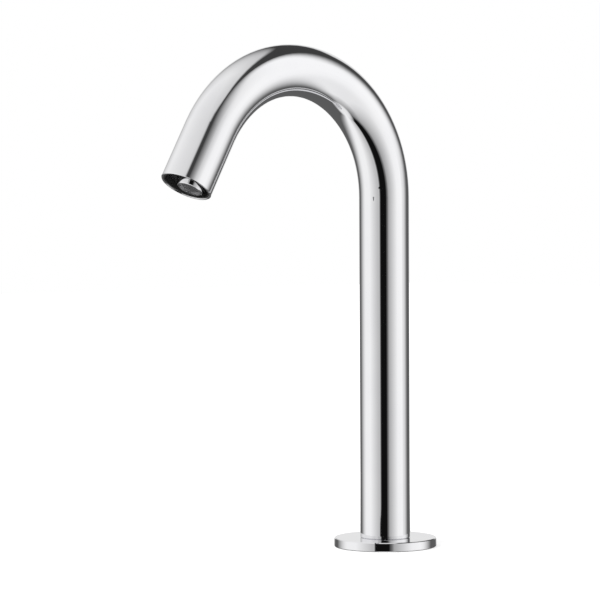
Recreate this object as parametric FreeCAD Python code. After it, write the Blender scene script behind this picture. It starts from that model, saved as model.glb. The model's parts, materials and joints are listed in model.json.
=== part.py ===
"""Deck-mounted sensor tap with a swan-neck tube spout.

A chromed tube rises from a round flange, bends over and points down and
forward. Its mouth holds an infrared sensor and an aerator side by side. A hose
and a cable run down inside the tube to a latching valve, which stands on the
base body with a check valve under it.

Millimetres and degrees. +Z is up, the spout reaches out along -Y, and the
origin is on the column's axis in the plane of the deck. Parts of the mouth are
drawn in the mouth's own frame: its origin is the centre of the rim, +Z is the
way the water leaves and +Y is the outer side of the bend, so a depth into the
tube is a negative Z.
"""

import FreeCAD
import Part

import math
import os

from FreeCAD import Vector

# ---------------------------------------------------------------- driving sizes
# Spout tube
TUBE_OD = 28.0
TUBE_WALL = 1.2
BEND_START = 195.0  # height of the straight column above the deck
BEND_RADIUS = 68.0  # on the tube's centreline
OUTLET_TILT = 30.0  # the mouth's axis from the vertical
OUTLET_RUN = 33.4  # straight tube between the bend and the rim
RIM_CHAMFER = 0.3
TUBE_FOOT_CHAMFER = 0.35

# Flange and its gasket
FLANGE_OD = 57.0
FLANGE_THICK = 5.0
FLANGE_EDGE_CHAMFER = 0.4
FLANGE_FOOT_CHAMFER = 0.3
GASKET_INSET = 3.0  # flange's edge to gasket
GASKET_WIDTH = 4.4
GASKET_THICK = 2.0

# Base body, screwed up into the tube from below
FOOT_RIM = 3.0  # how far the foot stands out beyond the tube
FOOT_THICK = 2.0
BASE_TOP = 28.0
INLET_MINOR_RADIUS = 4.46  # M10 x 1
INLET_THREAD_DEPTH = 12.0
STUD_MINOR_RADIUS = 3.32  # M8
STUD_THREAD_DEPTH = 15.0
STUD_AT = (5.6, -4.8)
SPANNER_HOLE_RADIUS = 1.4
SPANNER_HOLE_DEPTH = 1.4

# Check valve cartridge and strainer, in the base body's inlet
CHECK_RADIUS = 4.2
CHECK_LENGTH = 9.0
CHECK_WALL = 0.8
CHECK_LIFT = 1.5
CHECK_SEAT_THICK = 1.2
STRAINER_HEIGHT = 2.6

# Power socket and cables
SOCKET_RADIUS = 2.55
SOCKET_LENGTH = 10.0
SOCKET_RECESS = 5.0
CABLE_RADIUS = 1.3
CABLE_TO_TUBE = 3.1
CABLE_TO_FERRULE = 0.9
LEAD_RADIUS = 0.6

# Hose to the mouth
HOSE_OD = 8.0
HOSE_WALL = 1.0
HOSE_PAST_BARB = 1.0  # straight hose beyond the mouth's barb
BARB_LENGTH = 9.0
FERRULE_WALL = 0.45
FERRULE_LENGTH = 7.0

# Latching valve
VALVE_BODY_HEIGHT = 14.0
VALVE_SOCKET_HEIGHT = 9.0
SEAT_BORE_RADIUS = 2.2
SEAT_WALL = 1.2
DIAPHRAGM_THICK = 1.2
DIAPHRAGM_LIFT = 1.5
PLUNGER_LIFT = 2.0
PLUNGER_RADIUS = 3.0
PLUNGER_LENGTH = 17.3
GUIDE_WALL = 0.5
COIL_LENGTH = 22.8
CAN_WALL = 0.55
SCREW_RADIUS = 1.23
SCREW_HEAD_RADIUS = 2.1
SCREW_HEAD_HEIGHT = 1.6
SCREW_DEPTH = 11.0  # thread in the base body
SCREW_TO_EDGE = 1.3
SCREW_TO_SOCKET = 0.9

# Mouth: holder, sensor and aerator
NOZZLE_OFFSET = 2.8  # the aerator's axis, towards the column
HOLDER_DEPTH = 4.0  # rim to holder
HOLDER_LENGTH = 18.0
SKIRT_DEPTH = 0.5  # rim to the holder's skirt, which lines the tube's mouth
SKIRT_WALL = 0.7
NOZZLE_DEPTH = 0.1  # rim to nozzle
NOZZLE_RADIUS = 8.2  # where it leaves the holder
NOZZLE_TAPER = 1.4  # how much narrower its face is
NOZZLE_CHAMFER = 0.25
NOZZLE_NOSE = 4.6
THREAD_STEP = 0.5  # the nozzle's thread stands out beyond its nose
AERATOR_LENGTH = 11.6
NOZZLE_WALL = 1.1
WASHER_THICK = 1.2
HOLDER_WALL = 1.35  # round the aerator, and outside the sensor
SENSOR_END = 1.5  # the crescent window stops here, above the X axis
WINDOW_THICK = 2.0
SENSOR_POCKET_DEPTH = 8.8
LED_RADIUS = 1.5
LED_SPREAD = 4.2  # from the middle, each way
LED_INSET = 1.0  # from the middle of the window, towards the nozzle
BOARD_THICK = 1.0
GRUB_RADIUS = 1.47
GRUB_DEPTH = 19.0  # rim to grub screw
GRUB_LENGTH = 4.1

# Clearances
FIT = 0.05  # static round fits
SLIDE = 0.1  # running fits
EASY = 0.2  # pieces dropped into the tube
HOSE_TO_TUBE = 0.8
HOSE_TO_CAN = 0.9
CAN_TO_TUBE = 0.3

# ---------------------------------------------------------------- derived sizes
def meeting_point(radius, other_y, other_radius, side):
    """Where a circle about the column's axis meets one about a point on the Y axis."""
    y = (radius**2 - other_radius**2 + other_y**2) / (2 * other_y)
    return side * math.sqrt(radius**2 - y**2), y


TUBE_RADIUS = TUBE_OD / 2
BORE = TUBE_RADIUS - TUBE_WALL
HOSE_RADIUS = HOSE_OD / 2
HOSE_BORE = HOSE_RADIUS - HOSE_WALL
FOOT_RADIUS = TUBE_RADIUS + FOOT_RIM
GASKET_RADIUS = FLANGE_OD / 2 - GASKET_INSET
TILT = math.radians(OUTLET_TILT)
SHANK_RADIUS = BORE - FIT

# The coil can takes what the hose leaves of the bore.
CAN_RADIUS = (2 * BORE - HOSE_TO_TUBE - HOSE_OD - HOSE_TO_CAN - CAN_TO_TUBE) / 2
VALVE_AT = (0.0, BORE - CAN_TO_TUBE - CAN_RADIUS)
RISER_AT = (0.0, -(BORE - HOSE_TO_TUBE - HOSE_RADIUS))
CABLE_AT = meeting_point(
    BORE - CABLE_TO_TUBE - CABLE_RADIUS,
    RISER_AT[1],
    HOSE_RADIUS + FERRULE_WALL + CABLE_TO_FERRULE + CABLE_RADIUS,
    -1,
)
CABLE_ANGLE = math.degrees(math.atan2(CABLE_AT[1], CABLE_AT[0]))
SCREWS_AT = [
    meeting_point(
        BORE - EASY - SCREW_TO_EDGE - SCREW_HEAD_RADIUS,
        VALVE_AT[1],
        CAN_RADIUS + SCREW_TO_SOCKET + SCREW_HEAD_RADIUS,
        side,
    )
    for side in (1, -1)
]

# Levels in the base body and the check valve
CHECK_LOW = INLET_THREAD_DEPTH + STRAINER_HEIGHT + EASY
CHECK_SEAT_TOP = CHECK_LOW + CHECK_SEAT_THICK
CHECK_HIGH = CHECK_LOW + CHECK_LENGTH
SPIGOT_LOW = CHECK_HIGH + 2 * EASY
SPIGOT_RADIUS = CHECK_RADIUS + 0.55
POPPET_DISC = 1.0
GUIDE_LOW = CHECK_HIGH - 2.2

# Levels in the valve
DIAPHRAGM_LOW = BASE_TOP + VALVE_BODY_HEIGHT
DIAPHRAGM_HIGH = DIAPHRAGM_LOW + DIAPHRAGM_THICK
SOCKET_INNER = CAN_RADIUS - 0.8
INSERT_HIGH = DIAPHRAGM_HIGH + 1.2
PILOT_HIGH = INSERT_HIGH + 0.8
BONNET_PLATE = PILOT_HIGH + DIAPHRAGM_LIFT + 0.3
BONNET_HIGH = BONNET_PLATE + 1.4
SOCKET_HIGH = DIAPHRAGM_LOW + VALVE_SOCKET_HEIGHT
CAN_LOW = SOCKET_HIGH + EASY
CAN_FLOOR = 0.7
COIL_LOW = CAN_LOW + CAN_FLOOR + SLIDE
COIL_HIGH = COIL_LOW + COIL_LENGTH
LID_LOW = COIL_HIGH + EASY
LID_THICK = 1.0
MAGNET_LOW = LID_LOW + LID_THICK
MAGNET_THICK = 2.4
NUT_LOW = MAGNET_LOW + MAGNET_THICK
NUT_THICK = 2.8
GUIDE_RADIUS = PLUNGER_RADIUS + SLIDE + GUIDE_WALL
PLUNGER_LOW = PILOT_HIGH + 0.5
PLUNGER_HIGH = PLUNGER_LOW + PLUNGER_LENGTH
SPRING_POCKET = 6.0
CORE_LOW = PLUNGER_HIGH + PLUNGER_LIFT + SLIDE
CORE_STUD_RADIUS = 2.0
LEAD_REACH = CAN_RADIUS - CAN_WALL - LEAD_RADIUS - 0.7
MAGNET_RADIUS = LEAD_REACH - LEAD_RADIUS - 0.5

# Mouth
RIM_CENTRE = Vector(
    0,
    -(BEND_RADIUS * (1 + math.cos(TILT)) + OUTLET_RUN * math.sin(TILT)),
    BEND_START + BEND_RADIUS * math.sin(TILT) - OUTLET_RUN * math.cos(TILT),
)
NOZZLE_AT = (0.0, -NOZZLE_OFFSET)
HOLDER_RADIUS = BORE - SLIDE
HOLDER_END = HOLDER_DEPTH + HOLDER_LENGTH
AERATOR_THREAD_RADIUS = NOZZLE_RADIUS + THREAD_STEP
AERATOR_BORE = AERATOR_THREAD_RADIUS + FIT
AERATOR_END = NOZZLE_DEPTH + AERATOR_LENGTH
WASHER_END = AERATOR_END + WASHER_THICK
CHAMBER_END = WASHER_END + 3.3
NIPPLE_THREAD_RADIUS = 3.15
NIPPLE_SEAL_THICK = 0.8
NIPPLE_COLLAR = 1.6
TIP_HOSE_DEPTH = HOLDER_END + NIPPLE_SEAL_THICK + NIPPLE_COLLAR + SLIDE
BARB_END = HOLDER_END + NIPPLE_SEAL_THICK + NIPPLE_COLLAR + BARB_LENGTH + HOSE_PAST_BARB

# The hose's one arc leaves the riser's line and is back in the mouth's line by the barb.
HOSE_BEND_RADIUS = (
    BEND_RADIUS
    + RISER_AT[1]
    + (BEND_RADIUS - NOZZLE_OFFSET) * math.cos(TILT)
    - (BARB_END - OUTLET_RUN) * math.sin(TILT)
) / (1 + math.cos(TILT))
SENSOR_OUTER = HOLDER_RADIUS - 1.1
SENSOR_INNER = AERATOR_BORE + HOLDER_WALL
CABLE_IN_MOUTH = (SENSOR_OUTER + SENSOR_INNER - NOZZLE_OFFSET) / 2
BOARD_DEPTH = HOLDER_DEPTH + SENSOR_POCKET_DEPTH - BOARD_THICK - 0.5


# ---------------------------------------------------------------- drawing helpers
def cylinder(radius, low, high, at=(0.0, 0.0)):
    return Part.makeCylinder(radius, high - low, Vector(at[0], at[1], low))


def annulus(outer, inner, centre, way):
    discs = [Part.Face(Part.Wire(Part.makeCircle(r, centre, way))) for r in (outer, inner)]
    return discs[0].cut(discs[1]).Faces[0]


def ring(outer, inner, low, high, at=(0.0, 0.0)):
    profile = annulus(outer, inner, Vector(at[0], at[1], low), Vector(0, 0, 1))
    return profile.extrude(Vector(0, 0, high - low))


def in_depth(shape_maker, *sizes_and_depths, at=(0.0, 0.0)):
    """A cylinder or ring in the mouth's frame, between two depths into the tube."""
    *radii, near, far = sizes_and_depths
    return shape_maker(*radii, -far, -near, at)


def at_mouth(shape):
    """Moves a shape from the mouth's frame to the tap's."""
    turn = FreeCAD.Rotation(Vector(1, 0, 0), 180 - OUTLET_TILT)
    placed = shape.copy()
    placed.Placement = FreeCAD.Placement(RIM_CENTRE, turn).multiply(placed.Placement)
    return placed


def mouth_point(x, y, depth):
    turn = FreeCAD.Rotation(Vector(1, 0, 0), 180 - OUTLET_TILT)
    return RIM_CENTRE + turn.multVec(Vector(x, y, -depth))


def o_ring(major, minor, level, at=(0.0, 0.0)):
    return Part.makeTorus(major, minor, Vector(at[0], at[1], level), Vector(0, 0, 1))


def revolved(outline, at=(0.0, 0.0)):
    """Turns a closed outline of (radius, height) points round a vertical axis."""
    points = [Vector(at[0] + r, at[1], z) for r, z in outline]
    face = Part.Face(Part.makePolygon(points + points[:1]))
    return face.revolve(Vector(at[0], at[1], 0), Vector(0, 0, 1), 360)


def rounded_route(points, bend_radii):
    """Straight runs through the points, with a tangent arc at each inner point."""
    edges = []
    start = points[0]
    for before, corner, after, radius in zip(points, points[1:], points[2:], bend_radii):
        inward = (before - corner).normalize()
        onward = (after - corner).normalize()
        half_turn = (math.pi - inward.getAngle(onward)) / 2
        reach = radius * math.tan(half_turn)
        first = corner + inward * reach
        last = corner + onward * reach
        middle_way = (inward + onward).normalize()
        middle = corner + middle_way * (radius / math.cos(half_turn) - radius)
        edges.append(Part.LineSegment(start, first).toShape())
        edges.append(Part.Arc(first, middle, last).toShape())
        start = last
    edges.append(Part.LineSegment(start, points[-1]).toShape())
    return Part.Wire(edges)


def pipe(route, radius):
    first = route.Edges[0]
    start = first.valueAt(first.FirstParameter)
    way = first.tangentAt(first.FirstParameter)
    profile = Part.Wire(Part.makeCircle(radius, start, way))
    return route.makePipeShell([profile], True, False)


def cord(name, route, radius):
    """A cord along a rounded route, after printing how tight its bends are."""
    bends = [edge.Curve.Radius for edge in route.Edges if isinstance(edge.Curve, Part.Circle)]
    print(name, "bends, in diameters:", [round(bend / (2 * radius), 1) for bend in bends])
    return pipe(route, radius)


def coil_spring(coil_radius, wire_radius, low, high, turns, at=(0.0, 0.0)):
    """An open spring of quarter-turn arcs whose wire stays between the two levels."""
    rise = (high - low - 2 * wire_radius) / turns

    def point(turn):
        angle = 2 * math.pi * turn
        x = at[0] + coil_radius * math.cos(angle)
        y = at[1] + coil_radius * math.sin(angle)
        return Vector(x, y, low + wire_radius + rise * turn)

    arcs = []
    for quarter in range(4 * turns):
        ends = quarter / 4, quarter / 4 + 1 / 8, quarter / 4 + 1 / 4
        arcs.append(Part.Arc(*[point(turn) for turn in ends]).toShape())
    return pipe(Part.Wire(arcs), wire_radius)


def hexagon(across_flats, low, high, at=(0.0, 0.0)):
    corner = across_flats / 2 / math.cos(math.radians(30))
    points = []
    for side in range(7):
        angle = math.radians(60 * side)
        points.append(Vector(at[0] + corner * math.cos(angle), at[1] + corner * math.sin(angle), low))
    return Part.Face(Part.makePolygon(points)).extrude(Vector(0, 0, high - low))


def hexagonal_grid(pitch, rings):
    """Points of a honeycomb round the origin."""
    found = []
    for row in range(-rings, rings + 1):
        for column in range(-rings, rings + 1):
            if abs(row + column) <= rings:
                found.append((pitch * (column + row / 2), pitch * row * math.sin(math.radians(60))))
    return found


def flat_circles(shape, level):
    """The circular edges of a shape that lie at one height."""
    return [
        edge
        for edge in shape.Edges
        if isinstance(edge.Curve, Part.Circle)
        and edge.BoundBox.ZLength < FIT
        and abs(edge.BoundBox.ZMin - level) < FIT
    ]


def without(shape, *tools):
    return shape.cut(Part.makeCompound(list(tools))) if len(tools) > 1 else shape.cut(tools[0])


# ---------------------------------------------------------------- tube and flange
def spout_tube():
    """Column, swan neck and outlet run as one bent tube, chamfered at the rim."""
    foot = Vector(0, 0, FLANGE_THICK)
    shoulder = Vector(0, 0, BEND_START)
    bend_centre = Vector(0, -BEND_RADIUS, BEND_START)
    up = Vector(0, 0, 1)
    column = annulus(TUBE_RADIUS, BORE, foot, up).extrude(shoulder - foot)
    column = column.makeChamfer(TUBE_FOOT_CHAMFER, flat_circles(column, FLANGE_THICK))
    neck = annulus(TUBE_RADIUS, BORE, shoulder, up)
    neck = neck.revolve(bend_centre, Vector(1, 0, 0), 180 - OUTLET_TILT)
    outlet = in_depth(ring, TUBE_RADIUS, BORE, 0, OUTLET_RUN)
    outlet = outlet.makeChamfer(RIM_CHAMFER, flat_circles(outlet, 0))
    tube = column.fuse([neck, at_mouth(outlet)])
    return without(tube, at_mouth(grub_hole()))


def base_flange():
    """Round cover plate that the tube's end stands on."""
    edge = FLANGE_OD / 2
    plate = cylinder(edge, 0, FLANGE_THICK)
    plate = plate.makeChamfer(FLANGE_EDGE_CHAMFER, flat_circles(plate, FLANGE_THICK))
    plate = plate.makeChamfer(FLANGE_FOOT_CHAMFER, flat_circles(plate, 0))
    return without(
        plate,
        cylinder(SHANK_RADIUS + SLIDE, 0, FLANGE_THICK),
        cylinder(FOOT_RADIUS + SLIDE, 0, FOOT_THICK),
        ring(GASKET_RADIUS + FIT, GASKET_RADIUS - GASKET_WIDTH - FIT, 0, GASKET_THICK + FIT),
    )


def flange_gasket():
    return ring(GASKET_RADIUS, GASKET_RADIUS - GASKET_WIDTH, 0, GASKET_THICK)


# ---------------------------------------------------------------- base body
def base_body():
    """Brass plug with the inlet and stud threads, the socket and the cable way."""
    body = cylinder(FOOT_RADIUS, 0, FOOT_THICK).fuse(cylinder(SHANK_RADIUS, FOOT_THICK, BASE_TOP))
    spanner_at = (SHANK_RADIUS + FOOT_RADIUS) / 2
    tools = [
        cylinder(INLET_MINOR_RADIUS, 0, INLET_THREAD_DEPTH, VALVE_AT),
        cylinder(CHECK_RADIUS + FIT, 0, BASE_TOP, VALVE_AT),
        cylinder(SPIGOT_RADIUS + FIT, SPIGOT_LOW - EASY, BASE_TOP, VALVE_AT),
        cylinder(STUD_MINOR_RADIUS, 0, STUD_THREAD_DEPTH, STUD_AT),
        cylinder(SOCKET_RADIUS + FIT, 0, SOCKET_LENGTH + SLIDE, CABLE_AT),
        cylinder(CABLE_RADIUS + EASY, 0, BASE_TOP, CABLE_AT),
        cylinder(SPANNER_HOLE_RADIUS, 0, SPANNER_HOLE_DEPTH, (spanner_at, 0)),
        cylinder(SPANNER_HOLE_RADIUS, 0, SPANNER_HOLE_DEPTH, (-spanner_at, 0)),
    ]
    for at in SCREWS_AT:
        tools.append(cylinder(SCREW_RADIUS + FIT / 2, BASE_TOP - SCREW_DEPTH, BASE_TOP, at))
    for tool in tools:
        body = body.cut(tool)
    return body


def power_socket():
    """Round four-pole socket, flush with the underside."""
    body = cylinder(SOCKET_RADIUS, 0, SOCKET_LENGTH, CABLE_AT)
    return without(body, cylinder(SOCKET_RADIUS - 0.55, 0, SOCKET_RECESS, CABLE_AT), *pin_solids(FIT))


def pin_solids(extra=0.0):
    reach = SOCKET_RADIUS / 2.5
    pins = []
    for quarter in range(4):
        angle = math.radians(45 + 90 * quarter)
        at = (CABLE_AT[0] + reach * math.cos(angle), CABLE_AT[1] + reach * math.sin(angle))
        pins.append(cylinder(0.3 + extra, 1.0 - extra, SOCKET_RECESS + 2.5 + extra, at))
    return pins


def socket_pins():
    return Part.makeCompound(pin_solids())


# ---------------------------------------------------------------- strainer and check valve
def inlet_strainer():
    """Slotted cup that keeps grit out of the valve."""
    low = INLET_THREAD_DEPTH
    cup_radius = CHECK_RADIUS - 1.2
    cup = cylinder(CHECK_RADIUS, low, low + 0.8, VALVE_AT)
    cup = cup.fuse(cylinder(cup_radius, low, low + STRAINER_HEIGHT, VALVE_AT))
    tools = [cylinder(cup_radius - 0.5, low, low + STRAINER_HEIGHT - 0.5, VALVE_AT)]
    slot_high = low + STRAINER_HEIGHT - 0.7
    for turn in range(8):
        slot = Part.makeBox(2 * cup_radius, 0.4, slot_high - low - 1.0, Vector(0, -0.2, low + 1.0))
        slot.rotate(Vector(0, 0, 0), Vector(0, 0, 1), 45 * turn)
        slot.translate(Vector(VALVE_AT[0], VALVE_AT[1], 0))
        tools.append(slot)
    for x, y in hexagonal_grid(0.9, 1):
        tools.append(cylinder(0.25, low, low + STRAINER_HEIGHT, (VALVE_AT[0] + x, VALVE_AT[1] + y)))
    for tool in tools:
        cup = cup.cut(tool)
    return cup


def check_valve_body():
    """Cartridge with the seat below and the stem's guide above."""
    inner = CHECK_RADIUS - CHECK_WALL
    body = cylinder(CHECK_RADIUS, CHECK_LOW, CHECK_HIGH, VALVE_AT)
    tools = [
        cylinder(2.2, CHECK_LOW, CHECK_SEAT_TOP, VALVE_AT),
        cylinder(inner, CHECK_SEAT_TOP, GUIDE_LOW, VALVE_AT),
        cylinder(inner, GUIDE_LOW + 1.2, CHECK_HIGH, VALVE_AT),
        cylinder(0.8 + SLIDE, GUIDE_LOW, CHECK_HIGH, VALVE_AT),
    ]
    for third in range(3):
        angle = math.radians(120 * third + 90)
        at = (VALVE_AT[0] + 2.15 * math.cos(angle), VALVE_AT[1] + 2.15 * math.sin(angle))
        tools.append(cylinder(0.9, GUIDE_LOW, CHECK_HIGH, at))
    for tool in tools:
        body = body.cut(tool)
    return body


def check_valve_poppet():
    disc_top = CHECK_SEAT_TOP + POPPET_DISC
    disc = cylinder(CHECK_RADIUS - CHECK_WALL - 0.4, CHECK_SEAT_TOP, disc_top, VALVE_AT)
    return disc.fuse(cylinder(0.8, disc_top, CHECK_HIGH - 1.2, VALVE_AT))


def check_valve_spring():
    return coil_spring(1.6, 0.2, CHECK_SEAT_TOP + POPPET_DISC, GUIDE_LOW, 4, VALVE_AT)


def spigot_o_ring():
    return o_ring(SPIGOT_RADIUS - 0.43, 0.43, (SPIGOT_LOW + BASE_TOP) / 2, VALVE_AT)


# ---------------------------------------------------------------- latching valve
def valve_body():
    """Block with the inlet chamber round the seat, and the way across to the riser."""
    body = cylinder(BORE - EASY, BASE_TOP, DIAPHRAGM_LOW)
    body = body.fuse(cylinder(SPIGOT_RADIUS, SPIGOT_LOW, BASE_TOP, VALVE_AT))
    body = body.fuse(ring(CAN_RADIUS, SOCKET_INNER, DIAPHRAGM_LOW, SOCKET_HIGH, VALVE_AT))
    chamber_low = DIAPHRAGM_LOW - 5.2
    crossing = DIAPHRAGM_LOW - 8.1
    inlet_top = BASE_TOP + 3.0
    seat_radius = SEAT_BORE_RADIUS + SEAT_WALL
    chamber_radius = SOCKET_INNER - 0.9
    feed_at = (VALVE_AT[0], VALVE_AT[1] + (seat_radius + chamber_radius) / 2)
    across = VALVE_AT[1] - RISER_AT[1]
    groove = o_ring(SPIGOT_RADIUS - 0.43, 0.45, (SPIGOT_LOW + BASE_TOP) / 2, VALVE_AT)
    groove_mouth = ring(
        SPIGOT_RADIUS + 1, SPIGOT_RADIUS - 0.43, (SPIGOT_LOW + BASE_TOP) / 2 - 0.45,
        (SPIGOT_LOW + BASE_TOP) / 2 + 0.45, VALVE_AT,
    )
    cable_way = cylinder(CABLE_RADIUS + EASY, BASE_TOP, DIAPHRAGM_LOW, CABLE_AT)
    cable_slot = Part.makeBox(
        BORE, 2 * (CABLE_RADIUS + EASY), VALVE_BODY_HEIGHT, Vector(0, -CABLE_RADIUS - EASY, BASE_TOP)
    )
    cable_slot.rotate(Vector(0, 0, 0), Vector(0, 0, 1), CABLE_ANGLE)
    cable_slot.translate(Vector(CABLE_AT[0], CABLE_AT[1], 0))
    tools = [
        cylinder(2.5, SPIGOT_LOW, inlet_top, VALVE_AT),
        Part.makeBox(
            2.6, feed_at[1] - VALVE_AT[1], inlet_top - BASE_TOP - 0.8,
            Vector(VALVE_AT[0] - 1.3, VALVE_AT[1], BASE_TOP + 0.8),
        ),
        cylinder(1.3, BASE_TOP + 0.8, chamber_low + 1, feed_at),
        ring(chamber_radius, seat_radius, chamber_low, DIAPHRAGM_LOW, VALVE_AT),
        cylinder(SEAT_BORE_RADIUS, crossing, DIAPHRAGM_LOW, VALVE_AT),
        Part.makeCylinder(1.8, across, Vector(0, VALVE_AT[1], crossing), Vector(0, -1, 0)),
        cylinder(1.8, crossing, DIAPHRAGM_LOW, RISER_AT),
        cylinder(NIPPLE_THREAD_RADIUS + FIT, DIAPHRAGM_LOW - 4, DIAPHRAGM_LOW, RISER_AT),
        groove,
        groove_mouth,
        cable_way,
        cable_slot,
    ]
    for at in SCREWS_AT:
        tools.append(cylinder(SCREW_RADIUS + SLIDE, BASE_TOP, DIAPHRAGM_LOW, at))
    for tool in tools:
        body = body.cut(tool)
    return body


def valve_screws():
    """Two long screws that hold the valve body down on the base body."""
    screws = []
    for at in SCREWS_AT:
        shank = cylinder(SCREW_RADIUS, BASE_TOP - SCREW_DEPTH + EASY, DIAPHRAGM_LOW, at)
        head = cylinder(SCREW_HEAD_RADIUS, DIAPHRAGM_LOW, DIAPHRAGM_LOW + SCREW_HEAD_HEIGHT, at)
        key = hexagon(2.0, DIAPHRAGM_LOW + 0.5, DIAPHRAGM_LOW + SCREW_HEAD_HEIGHT, at)
        screws.append(shank.fuse(head).cut(key))
    return Part.makeCompound(screws)


def diaphragm():
    """Rubber disc: a thick rim that the bonnet clamps, a thin web and a thick middle."""
    rim = SOCKET_INNER - FIT
    web_outer = rim - 1.6
    web_inner = SEAT_BORE_RADIUS + SEAT_WALL + 0.2
    hole = 1.6
    low, high = DIAPHRAGM_LOW, DIAPHRAGM_HIGH
    outline = [
        (hole, low), (web_inner, low), (web_inner + 0.2, low + 0.5), (web_outer - 0.2, low + 0.5),
        (web_outer, low), (rim, low), (rim, high), (web_outer, high), (web_outer - 0.2, low + 1.0),
        (web_inner + 0.2, low + 1.0), (web_inner, high), (hole, high),
    ]
    return revolved(outline, VALVE_AT)


def diaphragm_insert():
    """Moving spool through the diaphragm, with the pilot hole down its middle."""
    stem = cylinder(1.55, DIAPHRAGM_LOW - 1.4, DIAPHRAGM_HIGH, VALVE_AT)
    disc = cylinder(3.8, DIAPHRAGM_HIGH, INSERT_HIGH, VALVE_AT)
    nozzle = cylinder(1.2, INSERT_HIGH, PILOT_HIGH, VALVE_AT)
    spool = stem.fuse([disc, nozzle])
    return spool.cut(cylinder(0.45, DIAPHRAGM_LOW - 1.4, PILOT_HIGH, VALVE_AT))


def guide_tube():
    """Bonnet and armature tube in one piece."""
    guide_bore = PLUNGER_RADIUS + SLIDE
    skirt = ring(SOCKET_INNER - FIT, SOCKET_INNER - FIT - 1.6, DIAPHRAGM_HIGH, BONNET_PLATE, VALVE_AT)
    plate = ring(SOCKET_INNER - FIT, guide_bore, BONNET_PLATE, BONNET_HIGH, VALVE_AT)
    tube = ring(GUIDE_RADIUS, guide_bore, BONNET_HIGH, LID_LOW - SLIDE, VALVE_AT)
    return skirt.fuse([plate, tube])


def bonnet_nut():
    """Threaded ring that presses the bonnet on the diaphragm's rim."""
    nut = ring(SOCKET_INNER - FIT, GUIDE_RADIUS + 0.8, BONNET_HIGH, SOCKET_HIGH, VALVE_AT)
    slot = Part.makeBox(
        2 * CAN_RADIUS, 1.4, 1.2, Vector(VALVE_AT[0] - CAN_RADIUS, VALVE_AT[1] - 0.7, SOCKET_HIGH - 1.2)
    )
    return nut.cut(slot)


def plunger():
    """Steel armature, with a spring pocket above and a seal pocket below."""
    body = cylinder(PLUNGER_RADIUS, PLUNGER_LOW, PLUNGER_HIGH, VALVE_AT)
    return without(
        body,
        cylinder(2.0, PLUNGER_HIGH - SPRING_POCKET, PLUNGER_HIGH, VALVE_AT),
        cylinder(1.9 + FIT, PLUNGER_LOW, PLUNGER_LOW + 1.2, VALVE_AT),
    )


def plunger_seal():
    return cylinder(1.9, PILOT_HIGH, PLUNGER_LOW + 1.2, VALVE_AT)


def plunger_spring():
    return coil_spring(1.5, 0.2, PLUNGER_HIGH - SPRING_POCKET, CORE_LOW, 6, VALVE_AT)


def core_plug():
    """Fixed core that closes the armature tube, with a stud for the coil's nut."""
    core = cylinder(PLUNGER_RADIUS + FIT, CORE_LOW, LID_LOW - SLIDE, VALVE_AT)
    return core.fuse(cylinder(CORE_STUD_RADIUS, LID_LOW - SLIDE, NUT_LOW + NUT_THICK + 0.8, VALVE_AT))


def coil_bobbin():
    inner = GUIDE_RADIUS + SLIDE
    outer = CAN_RADIUS - CAN_WALL - EASY
    low = ring(outer, inner, COIL_LOW, COIL_LOW + 1, VALVE_AT)
    high = ring(outer, inner, COIL_HIGH - 1, COIL_HIGH, VALVE_AT)
    return ring(inner + 0.6, inner, COIL_LOW, COIL_HIGH, VALVE_AT).fuse([low, high])


def coil_winding():
    inner = GUIDE_RADIUS + SLIDE + 0.6
    outer = CAN_RADIUS - CAN_WALL - EASY - 0.3
    return ring(outer, inner + FIT, COIL_LOW + 1 + FIT, COIL_HIGH - 1 - FIT, VALVE_AT)


def coil_can():
    """Steel cup that closes the magnetic circuit outside the coil."""
    wall = ring(CAN_RADIUS, CAN_RADIUS - CAN_WALL, CAN_LOW, LID_LOW, VALVE_AT)
    floor = ring(CAN_RADIUS - CAN_WALL / 2, GUIDE_RADIUS + FIT, CAN_LOW, CAN_LOW + CAN_FLOOR, VALVE_AT)
    return wall.fuse(floor)


def lead_start():
    """Where the lead leaves the coil, on the side towards the cable."""
    angle = math.radians(215)
    return VALVE_AT[0] + LEAD_REACH * math.cos(angle), VALVE_AT[1] + LEAD_REACH * math.sin(angle)


def can_lid():
    lid = ring(CAN_RADIUS, CORE_STUD_RADIUS + SLIDE, LID_LOW, MAGNET_LOW, VALVE_AT)
    return lid.cut(cylinder(LEAD_RADIUS + 0.15, LID_LOW, MAGNET_LOW, lead_start()))


def latch_magnet():
    return ring(MAGNET_RADIUS, CORE_STUD_RADIUS + EASY, MAGNET_LOW, NUT_LOW, VALVE_AT)


def coil_nut():
    nut = hexagon(7.0, NUT_LOW, NUT_LOW + NUT_THICK, VALVE_AT)
    return nut.cut(cylinder(CORE_STUD_RADIUS + FIT, NUT_LOW, NUT_LOW + NUT_THICK, VALVE_AT))


# ---------------------------------------------------------------- cables
SPLICE_LOW = NUT_LOW + NUT_THICK + 17
SPLICE_HIGH = SPLICE_LOW + 14
LEAD_BESIDE_CABLE = 2.0


def beside_cable(distance):
    """A point beside the cable, on the side away from the hose."""
    away = Vector(CABLE_AT[0] - RISER_AT[0], CABLE_AT[1] - RISER_AT[1], 0).normalize()
    return CABLE_AT[0] + distance * away.x, CABLE_AT[1] + distance * away.y


def coil_lead():
    """Two-core lead from the coil up to the splice."""
    start = lead_start()
    end = beside_cable(LEAD_BESIDE_CABLE)
    points = [
        Vector(start[0], start[1], COIL_HIGH + FIT),
        Vector(start[0], start[1], NUT_LOW + NUT_THICK + 2),
        Vector(end[0], end[1], SPLICE_LOW - 4),
        Vector(end[0], end[1], SPLICE_HIGH - 1),
    ]
    return cord("coil lead", rounded_route(points, (10.0, 10.0)), LEAD_RADIUS)


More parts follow.
